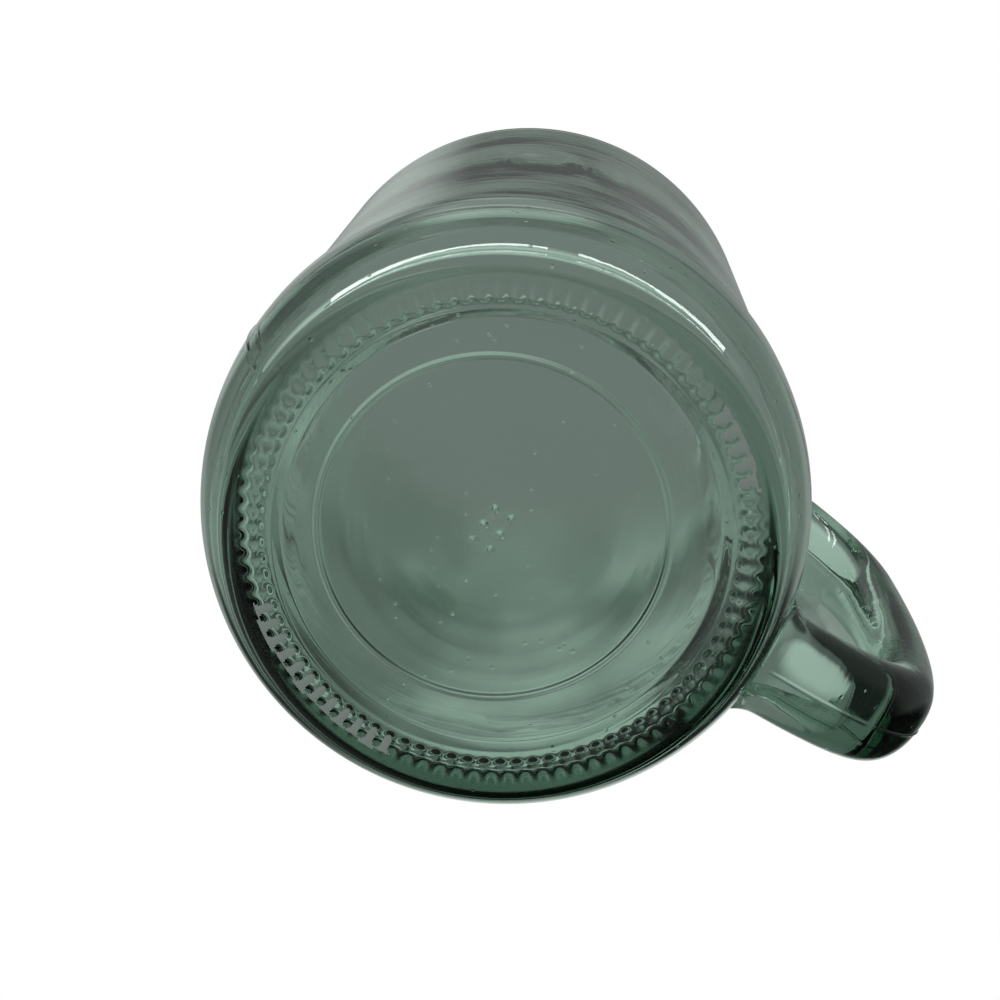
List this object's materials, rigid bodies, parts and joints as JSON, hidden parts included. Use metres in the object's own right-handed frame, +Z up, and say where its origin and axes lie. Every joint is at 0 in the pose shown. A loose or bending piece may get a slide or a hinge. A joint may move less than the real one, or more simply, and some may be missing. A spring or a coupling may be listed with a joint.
{
  "type": "glass stein",
  "caption": "Straight-sided pressed glass stein with a heavy rounded heel, a low shoulder, a stippled base ring and one loop handle.",
  "frame": {"origin": "on the rest plane, under the centre of the bowl, at the middle of the bearing ring", "axes": "+Z up along the axis of the bowl, +X from the axis towards the handle, +Y across the handle"},
  "size_m": [0.1284, 0.09, 0.141],
  "materials": {
    "green_glass": "polished"
  },
  "bodies": {
    "root": {"bowl": "green_glass", "base": "green_glass", "bearing_ring": "green_glass", "stipple_bars": "green_glass", "rim": "green_glass", "handle": "green_glass", "handle_lower_root": "green_glass", "handle_upper_root": "green_glass", "mark_ring": "green_glass", "mould_dots": "green_glass", "body_seams": "green_glass", "handle_seam": "green_glass"}
  },
  "joints": []
}
